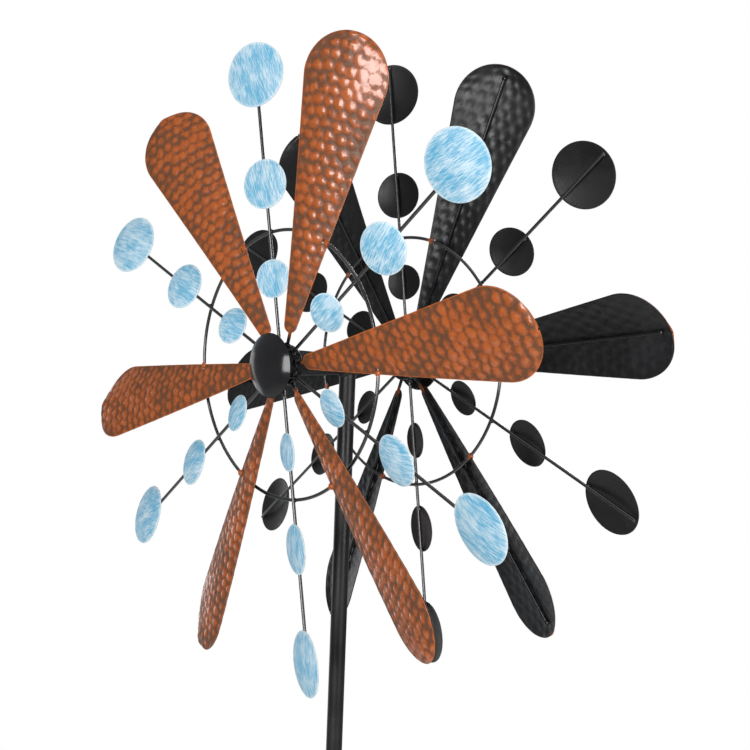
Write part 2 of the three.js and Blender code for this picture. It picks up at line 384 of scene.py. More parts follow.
class Tree:
    """Short calls for wiring a node tree."""

    def __init__(self, tree):
        self.tree = tree

    def add(self, kind, **values):
        node = self.tree.nodes.new(kind)
        for name, value in values.items():
            setattr(node, name, value)
        return node

    def link(self, source, target):
        self.tree.links.new(source, target)

    def put(self, socket, value):
        """Links a socket, or sets its value."""
        if isinstance(value, bpy.types.NodeSocket):
            self.link(value, socket)
        else:
            socket.default_value = value

    def feed(self, node, **inputs):
        """Links or sets inputs by name, with _ for a space."""
        for name, value in inputs.items():
            self.put(node.inputs[name.replace("_", " ")], value)
        return node

    def object_coordinates(self):
        return self.add("ShaderNodeTexCoord").outputs["Object"]

    def noise(self, vector, scale, detail=2.0, roughness=0.5):
        node = self.add("ShaderNodeTexNoise")
        self.feed(node, Vector=vector, Scale=scale, Detail=detail, Roughness=roughness)
        return node.outputs["Fac"]

    def math(self, operation, a, b=0.0, clamp=False):
        node = self.add("ShaderNodeMath", operation=operation, use_clamp=clamp)
        for socket, value in zip(node.inputs, (a, b)):
            self.put(socket, value)
        return node.outputs[0]

    def span(self, value, low, high, to_low=0.0, to_high=1.0):
        node = self.add("ShaderNodeMapRange", interpolation_type="SMOOTHSTEP")
        self.feed(node, Value=value, From_Min=low, From_Max=high, To_Min=to_low, To_Max=to_high)
        return node.outputs["Result"]

    def mix(self, share, a, b):
        node = self.add("ShaderNodeMix", data_type="RGBA")
        colour_inputs = [s for s in node.inputs if s.type == "RGBA"]
        for socket, value in zip((node.inputs[0], *colour_inputs), (share, a, b)):
            self.put(socket, value)
        return next(s for s in node.outputs if s.type == "RGBA")

    def attribute(self, name):
        return self.add("ShaderNodeAttribute", attribute_name=name).outputs["Fac"]


def group_tree(name, inputs, outputs):
    """A new shader group with its named sockets, and its two ends."""
    tree = bpy.data.node_groups.new(name, "ShaderNodeTree")
    for socket, kind, default in inputs:
        made = tree.interface.new_socket(socket, in_out="INPUT", socket_type=kind)
        if default is not None:
            made.default_value = default
    for socket, kind in outputs:
        tree.interface.new_socket(socket, in_out="OUTPUT", socket_type=kind)
    wires = Tree(tree)
    return wires, wires.add("NodeGroupInput").outputs, wires.add("NodeGroupOutput").inputs


FLOAT = "NodeSocketFloat"


def enamel_grain_group():
    """Orange peel, cloudy handling marks and dust specks of sprayed paint."""
    name = "Enamel Grain"
    if name in bpy.data.node_groups:
        return bpy.data.node_groups[name]
    wires, start, end = group_tree(
        name,
        [("Scale", FLOAT, 900.0), ("Cloud Scale", FLOAT, 30.0), ("Speck Scale", FLOAT, 1600.0)],
        [("Height", FLOAT), ("Cloud", FLOAT), ("Specks", FLOAT)],
    )
    place = wires.object_coordinates()
    wires.link(wires.noise(place, start["Scale"], 3.0), end["Height"])
    cloud = wires.noise(place, start["Cloud Scale"], 4.0, 0.6)
    wires.link(wires.span(cloud, 0.3, 0.7), end["Cloud"])
    speck = wires.noise(place, start["Speck Scale"], 1.0)
    wires.link(wires.span(speck, 0.68, 0.76), end["Specks"])
    return wires.tree


def brush_streaks_group():
    """Fine dry-brushed streaks along the first axis of the Brush map."""
    name = "Brush Streaks"
    if name in bpy.data.node_groups:
        return bpy.data.node_groups[name]
    wires, start, end = group_tree(
        name,
        [("Along", FLOAT, 60.0), ("Across", FLOAT, 1500.0), ("Angle", FLOAT, 0.0)],
        [("Streaks", FLOAT)],
    )
    turned = wires.add("ShaderNodeVectorRotate", rotation_type="Z_AXIS")
    brush_map = wires.add("ShaderNodeUVMap", uv_map="Brush").outputs["UV"]
    wires.feed(turned, Vector=brush_map, Angle=start["Angle"])
    scale = wires.add("ShaderNodeCombineXYZ")
    wires.feed(scale, X=start["Along"], Y=start["Across"])
    stretched = wires.add("ShaderNodeVectorMath", operation="MULTIPLY")
    wires.link(turned.outputs["Vector"], stretched.inputs[0])
    wires.link(scale.outputs["Vector"], stretched.inputs[1])
    wires.link(wires.noise(stretched.outputs["Vector"], 1.0, 5.0, 0.65), end["Streaks"])
    return wires.tree


def use_group(wires, tree, **inputs):
    """Places a shader group in a material with its own values."""
    node = wires.add("ShaderNodeGroup", node_tree=tree)
    wires.feed(node, **inputs)
    return node.outputs


def new_material(name):
    """A material with an empty tree, its wiring and its shader."""
    material = bpy.data.materials.new(name)
    material.use_nodes = True
    material.node_tree.nodes.clear()
    wires = Tree(material.node_tree)
    shader = wires.add("ShaderNodeBsdfPrincipled")
    output = wires.add("ShaderNodeOutputMaterial")
    wires.link(shader.outputs["BSDF"], output.inputs["Surface"])
    return material, wires, shader


def tint(name, share=1.0):
    """One of the finish colours, made brighter or darker."""
    rgb = getattr(settings().finish, name)[:3]
    return (*(min(1.0, c * share) for c in rgb), 1.0)


def add_bump(wires, shader, height, strength, distance):
    """Feeds a height through a bump node to the shader."""
    bump = wires.add("ShaderNodeBump")
    wires.feed(bump, Height=height, Strength=strength, Distance=distance)
    wires.link(bump.outputs["Normal"], shader.inputs["Normal"])


# Scale, detail and roughness of each noise, and how far it darkens and brightens the copper.
COPPER_CLOUDS = (
    (34.0, 4.0, 0.6, -0.42, 0.34),
    (260.0, 3.0, 0.6, -0.3, 0.28),
    (1100.0, 3.0, 0.7, -0.16, 0.16),
)
DEEP_COPPER = (0.56, 0.58, 0.62, 1)
SPECK_GREY = (0.09, 0.09, 0.09, 1)


def copper_colour(wires, crown, grain):
    """Orange crowns fading to brown valleys, and the share of orange at each point. The brown is
    partly patina and partly painted shade.
    """
    place = wires.object_coordinates()
    dusted = crown
    for scale, detail, roughness, darker, brighter in COPPER_CLOUDS:
        cloud = wires.noise(place, scale, detail, roughness)
        dusted = wires.math("ADD", dusted, wires.span(cloud, 0.3, 0.7, darker, brighter))
    deep = tuple(c * k for c, k in zip(tint("copper"), DEEP_COPPER))
    bright = wires.mix(grain["Cloud"], tint("copper", 0.85), tint("copper"))
    brown = wires.mix(wires.span(dusted, 0.0, 0.5), tint("patina"), deep)
    share = wires.span(dusted, 0.35, 1.15)
    return wires.mix(share, brown, bright), share


def hammered_copper():
    """Painted face of the blades, shiny on the crowns and dull in the valleys."""
    material, wires, shader = new_material("hammered_copper")
    grain = use_group(wires, enamel_grain_group(), Scale=1100.0, Cloud_Scale=55.0)
    base, share = copper_colour(wires, wires.attribute("crown"), grain)
    clouded = wires.span(grain["Cloud"], 0.0, 1.0, 0.26, 0.38)
    dulled = wires.math("ADD", clouded, wires.span(share, 0.0, 1.0, 0.22, 0.0))
    wires.feed(
        shader, Base_Color=wires.mix(wires.attribute("edge"), base, tint("copper", 1.35)),
        Metallic=0.0, Specular_IOR_Level=0.5, Roughness=dulled,
        Coat_Weight=wires.span(share, 0.0, 1.0, 0.1, 1.0), Coat_Roughness=0.14,
    )
    add_bump(wires, shader, grain["Height"], 0.25, 0.0003)
    return material


def black_enamel(name, gloss, peel, **shine):
    """Black enamel with dust and specks, and orange overspray where the spray value says so."""
    material, wires, shader = new_material(name)
    grain = use_group(wires, enamel_grain_group(), Scale=700.0, Cloud_Scale=24.0)
    dusty = wires.mix(grain["Cloud"], tint("black"), tint("black", 1.5))
    specked = wires.mix(wires.math("MULTIPLY", grain["Specks"], 0.25), dusty, SPECK_GREY)
    broken = wires.span(grain["Height"], 0.3, 0.6, 0.55, 1.0)
    sprayed = wires.math("MULTIPLY", wires.attribute("spray"), broken)
    wires.feed(
        shader, Base_Color=wires.mix(sprayed, specked, tint("copper")), Metallic=0.0,
        Roughness=wires.span(grain["Cloud"], 0.0, 1.0, *gloss),
        **{"Specular_IOR_Level": 0.5, **shine},
    )
    add_bump(wires, shader, grain["Height"], peel, 0.00025)
    return material


def satin_black():
    """Satin black of the blade and disc backs, the pole and the fork."""
    return black_enamel("satin_black", (0.32, 0.45), 0.3)


def gloss_black():
    """Glossier black of the blade wires, hubs, caps and rotor welds."""
    return black_enamel("gloss_black", (0.13, 0.24), 0.12)


def wire_black():
    """Hard, shiny black of the disc wires and the rings."""
    return black_enamel(
        "wire_black", (0.15, 0.24), 0.08,
        Specular_IOR_Level=1.0, Coat_Weight=1.0, Coat_Roughness=0.2,
    )


def dry_brushed_blue():
    """Blue discs dry-brushed with white along the wire, whitest at the rim."""
    material, wires, shader = new_material("dry_brushed_blue")
    grain = use_group(wires, enamel_grain_group(), Scale=1300.0, Cloud_Scale=65.0)
    streaks = brush_streaks_group()
    fine = use_group(wires, streaks, Along=95.0, Across=1500.0, Angle=0.12)["Streaks"]
    long = use_group(wires, streaks, Along=55.0, Across=850.0, Angle=-0.16)["Streaks"]
    broad = use_group(wires, streaks, Along=22.0, Across=150.0, Angle=0.05)["Streaks"]
    both = wires.math("ADD", wires.math("MULTIPLY", fine, 0.5), wires.math("MULTIPLY", long, 0.35))
    mixed = wires.math("ADD", both, wires.math("MULTIPLY", broad, 0.25))
    clouded = wires.math("ADD", mixed, wires.span(grain["Cloud"], 0.0, 1.0, -0.03, 0.03))
    rim = wires.math("MULTIPLY", wires.attribute("edge"), 0.8)
    white = wires.math("ADD", wires.span(clouded, 0.45, 0.67), rim, clamp=True)
    wires.feed(
        shader, Base_Color=wires.mix(white, tint("blue"), tint("pale")), Metallic=0.0,
        Specular_IOR_Level=0.45, Roughness=wires.span(fine, 0.3, 0.7, 0.42, 0.56),
    )
    add_bump(wires, shader, both, 0.35, 0.0003)
    return material


def zinc_plate():
    """Zinc-plated steel of the axle, bearings, plugs, nuts and screws."""
    material, wires, shader = new_material("zinc_plate")
    grain = use_group(wires, enamel_grain_group(), Scale=1900.0, Cloud_Scale=150.0)
    wires.feed(
        shader, Base_Color=wires.mix(grain["Cloud"], tint("steel", 0.7), tint("steel")),
        Metallic=0.95, Roughness=wires.span(grain["Cloud"], 0.0, 1.0, 0.24, 0.42),
    )
    add_bump(wires, shader, grain["Height"], 0.15, 0.0001)
    return material


def sheet_edge():
    """Cut edge of the blades, where copper and black spray meet."""
    material, wires, shader = new_material("sheet_edge")
    grain = use_group(wires, enamel_grain_group(), Scale=1500.0, Cloud_Scale=180.0)
    wires.feed(
        shader, Base_Color=wires.mix(grain["Cloud"], tint("black"), tint("patina", 0.8)),
        Roughness=wires.span(grain["Height"], 0.2, 0.8, 0.35, 0.5),
    )
    return material


MAKERS = {
    "sheet_edge": sheet_edge,
    "hammered_copper": hammered_copper,
    "satin_black": satin_black,
    "gloss_black": gloss_black,
    "wire_black": wire_black,
    "dry_brushed_blue": dry_brushed_blue,
    "zinc_plate": zinc_plate,
}


def finish_named(name):
    """The material of that name, made on first use."""
    return bpy.data.materials.get(name) or MAKERS[name]()


# ---------------------------------------------------------------- blades

BLADE_COLUMNS = 68
BLADE_ROWS = ((12, 190, 42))

# Where a blade's outline starts and stops, just off its own middle line.
OUTLINE_START = math.radians(177)
OUTLINE_END = math.radians(1.5)

# Size of the repeating table of hammer marks.
MARKS = 64

# How far the brown of a valley reaches from it, between rows and within one. The brown is partly
# patina in the hollows and partly painted shade, wider between rows where shade falls under each
# row.
PATINA_AND_SHADE_REACH = 0.0036

# How deep each side is hammered, and how much flatter the marks are near a blade's tip, where the
# valleys are also painted orange as part painted highlight.
SIDE_DEPTH = {"front": 1.1, "rear": 0.75}
UPPER_FLAT_TIP = 0.7
FLAT_TIP = 0.25

# The slot for the ring: its angle from the blade, its clearance, and how near faces are cut.
NOTCH_TURN = math.radians(-7.5)
NOTCH_CLEARANCE = 0.00036
NOTCH_REACH = 0.006


def on_arc(centre, radius, turn):
    """A point of the blade's outline, on an arc about a centre on its middle line."""
    return (centre + radius * math.cos(turn), radius * math.sin(turn))


def blade_stations():
    """[distance from the axle, half width] from root to tip, and the ends of the straight edge."""
    blade = settings().blade
    root_at = blade.root + blade.root_radius
    lean = math.asin((blade.tip_radius - blade.root_radius) / (blade.tip - root_at))
    quarter = math.pi / 2 + lean
    start = on_arc(root_at, blade.root_radius, quarter)
    end = on_arc(blade.tip, blade.tip_radius, quarter)
    at_root, straight, at_tip = BLADE_ROWS
    stations = []
    for i in range(at_root):
        turn = OUTLINE_START + (quarter - OUTLINE_START) * i / at_root
        stations.append(on_arc(root_at, blade.root_radius, turn))
    for i in range(straight):
        share = i / straight
        stations.append(tuple(a + (b - a) * share for a, b in zip(start, end)))
    for i in range(at_tip + 1):
        turn = quarter + (OUTLINE_END - quarter) * i / at_tip
        stations.append(on_arc(blade.tip, blade.tip_radius, turn))
    return np.array(stations), start, end


def hammer_marks(x, y, seed):
    """Crown height and paint left on it, 0 in a valley to 1 on a crown, at each point. The brown
    valleys are partly patina and partly painted shade.
    """
    blade = settings().blade
    rng = np.random.default_rng(seed)
    skew, tilt = rng.uniform(-0.35, 0.35), rng.uniform(-0.12, 0.12)
    u = (x + tilt * y + y * y / 0.35) / blade.mark_along
    v = (y + skew * (x - 0.15) * 0.25) / blade.mark_across
    rows, columns = np.floor(u).astype(int), np.floor(v).astype(int)
    jitter = rng.uniform(-0.2, 0.2, (MARKS, MARKS, 2))
    tone = rng.uniform(-0.16, 0.16, (MARKS, MARKS))
    away = np.empty((3, 3, len(x)))
    tones = np.empty((3, 3, len(x)))
    for i in range(3):
        for j in range(3):
            row, column = rows + i - 1, columns + j - 1
            shift = jitter[row % MARKS, column % MARKS]
            du = u - (row + 0.5 + shift[:, 0])
            dv = v - (column + 0.5 + 0.5 * (row % 2) - 0.25 + shift[:, 1])
            away[i, j] = np.hypot(du * blade.mark_along, dv * blade.mark_across)
            tones[i, j] = tone[row % MARKS, column % MARKS]
    each = np.arange(len(x))
    by_row = away.min(axis=1)
    own = by_row.argmin(axis=0)
    in_row = np.sort(away[own, :, each], axis=1)
    nearest = in_row[:, 0]
    cell = tones[own, away[own, :, each].argmin(axis=1), each]
    beside = (in_row[:, 1] - nearest) / 2
    between = (np.sort(by_row, axis=0)[1] - nearest) / 2
    gap = np.minimum(beside, between)
    dome = 0.5 + 0.5 * np.cos(math.pi * np.clip(nearest / (0.6 * blade.mark_across), 0, 1))
    swell = np.clip(gap / (0.42 * blade.mark_across), 0, 1)
    crown = 0.65 * dome + 0.35 * swell * swell * (3 - 2 * swell)
    # Painted shade in part: valleys between rows turn brown wider than those within a row, standing
    # for the shade under each row.
    paint = np.clip(np.minimum(between / PATINA_AND_SHADE_REACH, 0.42 + beside / PATINA_AND_SHADE_REACH), 0, 1)
    return crown * (1 + 0.8 * cell), paint + cell * np.clip(gap / 0.0015, 0, 1)


def cut_ring_notch(bm):
    """Cuts the slot where the ring runs into the blade's rear edge."""
    rotor = settings().rotor
    clear = rotor.wire_radius + NOTCH_CLEARANCE
    back = -rotor.ring_back + clear
    lean = blade_lean()
    upright = lean.inverted()
    outward = Vector(polar(1, NOTCH_TURN, 0))
    near = []
    for face in bm.faces:
        middle = face.calc_center_median()
        at_ring = abs(middle.xy.length - rotor.ring_radius) < NOTCH_REACH
        if at_ring and middle.y < -NOTCH_REACH:
            near.append(face)
    cuts = [
        (outward * (rotor.ring_radius - clear), outward),
        (outward * (rotor.ring_radius + clear), outward),
        (Vector((0, 0, back)), Vector((0, 0, 1))),
    ]
    for point, normal in cuts:
        geometry = list({e for f in near for e in (*f.verts, *f.edges)}) + near
        made = bmesh.ops.bisect_plane(
            bm, geom=geometry, dist=1e-6,
            plane_co=upright @ point, plane_no=upright.to_3x3() @ normal,
        )
        near = list({e for e in made["geom"] if isinstance(e, bmesh.types.BMFace) and e.is_valid})
    lost = []
    for face in near:
        centre = lean @ face.calc_center_median()
        reach = centre.dot(outward) - rotor.ring_radius
        if abs(reach) < clear and centre.z < back:
            lost.append(face)
    bmesh.ops.delete(bm, geom=lost, context="FACES")


def blade_sheet(seed, flat_tip, depth):
    """Front of one hammered blade along +X, before its lean."""
    blade = settings().blade
    stations, start, end = blade_stations()
    rows = len(stations) - 1
    bm = bmesh.new()
    bmesh.ops.create_grid(bm, x_segments=rows, y_segments=BLADE_COLUMNS, size=1)
    grid = np.array([v.co for v in bm.verts])
    row = np.rint((grid[:, 0] + 1) / 2 * rows).astype(int)
    x, half = stations[row, 0], stations[row, 1]
    across = grid[:, 1]
    y = across * half
    slope = (end[1] - start[1]) / (end[0] - start[0])
    wide = np.maximum(start[1] + (x - start[0]) * slope, half)
    arch = blade.camber * wide * (half / wide) ** 0.35
    base = blade.lift + blade.thickness - blade.camber * wide + arch * (1 - across**2)
    crown, paint = hammer_marks(x, y, seed)
    rim = np.minimum(half * (1 - np.abs(across)), blade.tip + blade.tip_radius - x)
    fade = np.clip(rim / 0.004, 0.25, 1)
    narrow = np.clip((half - 0.004) / 0.012, 0.35, 1)
    near_tip = np.clip((x - blade.tip + 0.028) / 0.016, 0, 1)
    flatter = 1 - flat_tip * near_tip * np.clip((-y - 0.001) / 0.015, 0, 1)
    z = base + depth * (crown - 0.6) * fade * narrow * flatter
    rest = settings().rotor.wire_radius + blade.thickness + 0.00015
    on_wire = np.exp(-((y / 0.003) ** 2)) * (x < blade.wire_end + 0.002)
    z += np.maximum(rest - z, 0) * on_wire
    # On the flattened part of the tip the valleys are painted orange: partly thinner patina in the
    # shallow marks, partly a painted highlight so the sheen there covers them unbroken. Within 11
    # mm of the rim the paint turns browner.
    paint += 0.6 * (1 - flatter) - 0.4 * np.clip(1 - rim / 0.011, 0, 1)
    span = blade.tip + blade.tip_radius - blade.root
    pitch = blade.pitch_root + (blade.pitch_tip - blade.pitch_root) * (x - blade.root) / span
    crown_layer = bm.verts.layers.float.new("crown")
    edge_layer = bm.verts.layers.float.new("edge")
    edge = np.clip(1 - rim / 0.0009, 0, 1)
    for i, vert in enumerate(bm.verts):
        c, s = math.cos(pitch[i]), math.sin(pitch[i])
        vert.co = (x[i], y[i] * c - z[i] * s, y[i] * s + z[i] * c)
        vert[crown_layer] = paint[i]
        vert[edge_layer] = edge[i]
    bmesh.ops.recalc_face_normals(bm, faces=bm.faces)
    if sum(f.normal.z for f in bm.faces) < 0:
        bmesh.ops.reverse_faces(bm, faces=bm.faces)
    cut_ring_notch(bm)
    return bm


def make_blade(side, index):
    """One hammered blade, copper in front and black behind."""
    blade = settings().blade
    seed = 11 + index + 20 * SIDES.index(side)
    flat_tip = UPPER_FLAT_TIP if index == 0 else FLAT_TIP
    bm = blade_sheet(seed, flat_tip, blade.mark_depth * SIDE_DEPTH[side])
    piece = make_piece(
        f"{side}_hammered_blade_{index + 1}", bm,
        ["hammered_copper", "satin_black", "sheet_edge"], ROTOR_BODY[side],
        matrix=rotor_matrix(side, blade_turn(side, index)) @ blade_lean(),
        replaces=[f"{side}_blade_{index + 1}"], sharp=75,
    )
    sheet = piece.modifiers.new("Sheet", "SOLIDIFY")
    sheet.thickness = blade.thickness
    sheet.offset = -1
    sheet.use_even_offset = True
    sheet.material_offset = 1
    sheet.material_offset_rim = 2
    return piece


def make_blade_wire(side, index):
    """The wire behind one blade, with its welds and the overspray at the root."""
    blade = settings().blade
    bm = straight_wire(2 * GAP, blade.wire_end, 90)
    rng = random.Random(100 + index + 50 * SIDES.index(side))
    add_bead(bm, (blade.root + 0.002, 0.0, 0.0006), 0.0021, rng, flat=0.7)
    add_bead(bm, (blade.wire_end - 0.001, 0.0, -0.0006), 0.0024, rng, flat=0.6)
    for share in (0.35, 0.68):
        at = blade.root + share * (blade.wire_end - blade.root)
        add_bead(bm, (at, 0.0009, 0.0006), 0.0018, rng, flat=0.7)

    def overspray(co):
        near_root = 1 - min(1, abs(co.x - blade.root - 0.001) / 0.007)
        return max(0.0, near_root) * (0.9 if co.z > -0.0006 else 0.35)

    paint_points(bm, "spray", overspray)
    return make_piece(
        f"{side}_blade_spine_{index + 1}", bm, ["gloss_black"], ROTOR_BODY[side],
        matrix=rotor_matrix(side, blade_turn(side, index)) @ blade_lean(),
        replaces=[f"{side}_blade_wire_{index + 1}"],
    )


# ---------------------------------------------------------------- discs


def disc_shell(radius, number):
    """One dished disc facing +Z, with a rolled rim and its brush map."""
    disc = settings().disc
    dome = disc.dome * radius
    steps = 14
    rim_at = settings().rotor.wire_radius - 0.0004
    sheet = disc.thickness
    bend = 0.00055
    under = [i / steps * (radius - bend) for i in range(steps + 1)]
    lower = [(r, rim_at + dome * (1 - (r / radius) ** 2)) for r in under]
    upper = [(r, z + sheet) for r, z in reversed(lower)]
    lip = [(radius - 0.0001, rim_at + sheet * 0.2), (radius, rim_at + sheet * 0.5),
           (radius - 0.0001, rim_at + sheet * 0.85)]
    bm = lathe(lower + lip + upper, 64, closed=False)
    rng = random.Random(number)
    dent = rng.uniform(0, FULL_TURN)
    edge_layer = bm.verts.layers.float.new("edge")
    for vert in bm.verts:
        out = vert.co.xy.length / radius
        round_by = math.atan2(vert.co.y, vert.co.x)
        vert.co.z += 0.012 * radius * out * out * math.cos(2 * round_by + dent)
        vert[edge_layer] = max(0.0, 1 - (1 - out) * radius / 0.0012)
    shift = Vector((rng.uniform(-5, 5), rng.uniform(-5, 5)))
    swing = Matrix.Rotation(rng.uniform(-0.25, 0.25), 2)
    brush = bm.loops.layers.uv.new("Brush")
    for face in bm.faces:
        face.material_index = 0 if face.normal.z > -0.2 else 1
        for loop in face.loops:
            loop[brush].uv = swing @ loop.vert.co.xy + shift
    return bm


def make_disc(side, index, place):
    """One brushed disc on a disc arm."""
    disc = settings().disc
    number = index * 3 + place + 40 * SIDES.index(side)
    bm = disc_shell(disc.radii[place], number)
    local = Matrix.Translation((disc.distances[place], 0, 0)) @ Matrix.Rotation(disc.pitch, 4, "X")
    return make_piece(
        f"{side}_disc_{index + 1}_{place + 1}", bm, ["dry_brushed_blue", "satin_black"],
        ROTOR_BODY[side], matrix=rotor_matrix(side, arm_turn(side, index)) @ local,
        replaces=[f"{side}_disc_arm_{index + 1}"], sharp=60,
    )


def make_disc_wire(side, index):
    """The straight wire of one disc arm, with two welds behind each disc."""
    disc = settings().disc
    bm = straight_wire(GAP, disc.wire_end, 30)
    rng = random.Random(300 + index + 50 * SIDES.index(side))
    for at, radius in zip(disc.distances, disc.radii):
        for end in (-1, 1):
            spot = (at + end * (radius - 0.0035), end * 0.0007, 0.0006)
            add_bead(bm, spot, 0.0018, rng, flat=0.6)
    return make_piece(
        f"{side}_disc_wire_{index + 1}", bm, ["wire_black"], ROTOR_BODY[side],
        matrix=rotor_matrix(side, arm_turn(side, index)),
        replaces=[f"{side}_disc_arm_{index + 1}"],
    )


# ---------------------------------------------------------------- hub, cap and ring


# Angle from a blade to the weld where the ring meets its rear edge, and the overspray's reach.
RING_WELD_TURN = math.radians(-8.1)
OVERSPRAY_REACH = 0.0042


def ring_weld_turns(side):
    """Angles where the ring meets each blade's rear edge."""
    spokes = settings().rotor.spokes
    return [blade_turn(side, i) + RING_WELD_TURN for i in range(spokes)]


def turn_gap(a, b):
    """Smallest difference between two angles."""
    return abs((a - b + math.pi) % FULL_TURN - math.pi)


def make_ring(side):
    """The stiffening ring behind the spokes, sprayed where it meets the blades."""
    rotor = settings().rotor
    bm = wire_ring(rotor.ring_radius, rotor.wire_radius, 16, 256)
    bmesh.ops.translate(bm, vec=(0, 0, -rotor.ring_back), verts=bm.verts)
    welds = ring_weld_turns(side)
    reach = OVERSPRAY_REACH / rotor.ring_radius

    def overspray(co):
        near = min(turn_gap(math.atan2(co.y, co.x), turn) for turn in welds)
        return max(0.0, 1.15 - near / reach)

    paint_points(bm, "spray", overspray)
    return make_piece(
        f"{side}_stiffening_ring", bm, ["wire_black"], ROTOR_BODY[side],
        matrix=rotor_matrix(side), replaces=[f"{side}_ring"],
    )


def make_ring_welds(side):
    """Weld beads that hold the ring to the spokes and to the blades' rear edges."""
    rotor, blade = settings().rotor, settings().blade
    rng = random.Random(500 + SIDES.index(side))
    bm = bmesh.new()
    spray = bm.verts.layers.float.new("spray")
    radius = rotor.ring_radius
    rise = radius * math.sin(blade.lean) - blade.set_back
    middle = (rise - rotor.ring_back) / 2
    for i in range(rotor.spokes):
        add_bead(bm, polar(radius, arm_turn(side, i), -0.0017), 0.0024, rng, 0.8)
        add_bead(bm, polar(radius, blade_turn(side, i), middle), 0.0026, rng, 1.1)
    for turn in ring_weld_turns(side):
        spot = polar(radius, turn, -rotor.ring_back + 0.0006)
        for vert in add_bead(bm, spot, 0.0032, rng, 0.62):
            vert[spray] = 1.0
    return make_piece(
        f"{side}_ring_welds", bm, ["gloss_black"], ROTOR_BODY[side],
        matrix=rotor_matrix(side),
    )


def make_hub(side):
    """The turned hub with broken edges."""
    rotor = settings().rotor
    outer, half = rotor.hub_radius, rotor.hub_half
    bore = node_size("front_bearing_inner").x / 2 + 0.00015
    bevel = 0.0009
    profile = [
        (bore, -half + bevel), (bore + bevel, -half), (outer - bevel, -half),
        (outer - 0.3 * bevel, -half + 0.3 * bevel), (outer, -half + bevel), (outer, half - bevel),
        (outer - 0.3 * bevel, half - 0.3 * bevel), (outer - bevel, half), (bore + bevel, half),
        (bore, half - bevel),
    ]
    return make_piece(
        f"{side}_turned_hub", lathe(profile, 96), ["gloss_black"],
        ROTOR_BODY[side], matrix=rotor_matrix(side),
        replaces=[f"{side}_hub"], sharp=50,
    )


def make_hub_welds(side):
    """Beads on both sides of each of the twelve spokes, where they meet the hub."""
    rotor, blade = settings().rotor, settings().blade
    rng = random.Random(700 + SIDES.index(side))
    bm = bmesh.new()
    reach = rotor.hub_radius + 0.0007
    blade_rise = -blade.set_back + 0.0006
    for i in range(rotor.spokes):
        for turn, rise in ((arm_turn(side, i), 0.0), (blade_turn(side, i), blade_rise)):
            for sway in (-0.0016, 0.0016):
                spot = polar(reach, turn + sway / reach, rise + rng.uniform(-4e-4, 4e-4))
                add_bead(bm, spot, rng.uniform(0.0021, 0.0027), rng, 1.05)
    return make_piece(
        f"{side}_hub_welds", bm, ["gloss_black"], ROTOR_BODY[side],
        matrix=rotor_matrix(side),
    )


def make_cap(side):
    """The domed cap pressed on the hub's face."""
    rotor = settings().rotor
    radius, rim, dome, wall = rotor.cap_radius, 0.0139, 0.0105, 0.001
    collar_in, collar_out, back = rotor.hub_radius + GAP, rotor.hub_radius + 0.0015, 0.0035
    ball = (radius**2 + dome**2) / (2 * dome)

    def outside(r):
        return rim - (ball - dome) + math.sqrt(ball**2 - r**2)

    under = [(r, outside(r) - wall) for r in (0.0, 0.005, 0.010, 0.015, collar_in - 0.0006)]
    collar = [
        (collar_in, outside(collar_in) - wall - 0.0008), (collar_in, back), (collar_out, back),
        (collar_out, outside(collar_out) - wall - 0.0008),
    ]
    flare = [(r, outside(r) - wall) for r in (collar_out + 0.0006, 0.024, 0.027, radius - 0.0016)]
    lip = [(radius - 0.0009, rim - 0.0001), (radius - 0.0004, rim - 0.0002), (radius, rim + 0.0002)]
    shares = (0.99, 0.97, 0.94, 0.9, 0.85, 0.78, 0.7, 0.6, 0.5, 0.4, 0.3, 0.2, 0.1, 0.0)
    shell = [(radius * share, outside(radius * share)) for share in shares]
    bm = lathe(under + collar + flare + lip + shell, 128, closed=False)
    return make_piece(
        f"{side}_domed_cap", bm, ["gloss_black"], ROTOR_BODY[side],
        matrix=rotor_matrix(side), replaces=[f"{side}_cap"], sharp=60,
    )


def make_bearing(side, place, at):
    """A shielded ball bearing pressed in the hub."""
    outer = node_size("front_bearing_inner").x / 2
    bore, half, bevel, recess = AXLE_BORE, 0.0035, 0.0003, 0.0004
    inner_race, outer_race = 0.0058, 0.0093

    def face(sign):
        edge = sign * half
        low = sign * (half - recess)
        return [
            (bore, sign * (half - bevel)), (bore + bevel, edge), (inner_race, edge),
            (inner_race, low), (inner_race + 0.0006, low * 0.97), (outer_race - 0.0006, low * 0.97),
            (outer_race, low), (outer_race, edge), (outer - bevel, edge),
            (outer, sign * (half - bevel)),
        ]

    bm = lathe(face(-1) + face(1)[::-1], 72)
    return make_piece(
        f"{side}_{place}_shielded_bearing", bm, ["zinc_plate"], ROTOR_BODY[side],
        matrix=rotor_matrix(side) @ Matrix.Translation((0, 0, at)),
        replaces=[f"{side}_bearing_{place}"], sharp=35,
    )


# ---------------------------------------------------------------- stand


def make_axle_tube():
    """The cross tube that carries the axle."""
    stand = settings().stand
    half = node_size("axle_tube").y / 2
    outer = stand.tube_radius
    profile = tube_profile(outer - stand.tube_wall, outer, -half, half, bevel=0.0004)
    return make_piece(
        "axle_cross_tube", lathe(profile, 96), ["satin_black"], STAND,
        matrix=axle_matrix(), replaces=["axle_tube"], sharp=35,
    )


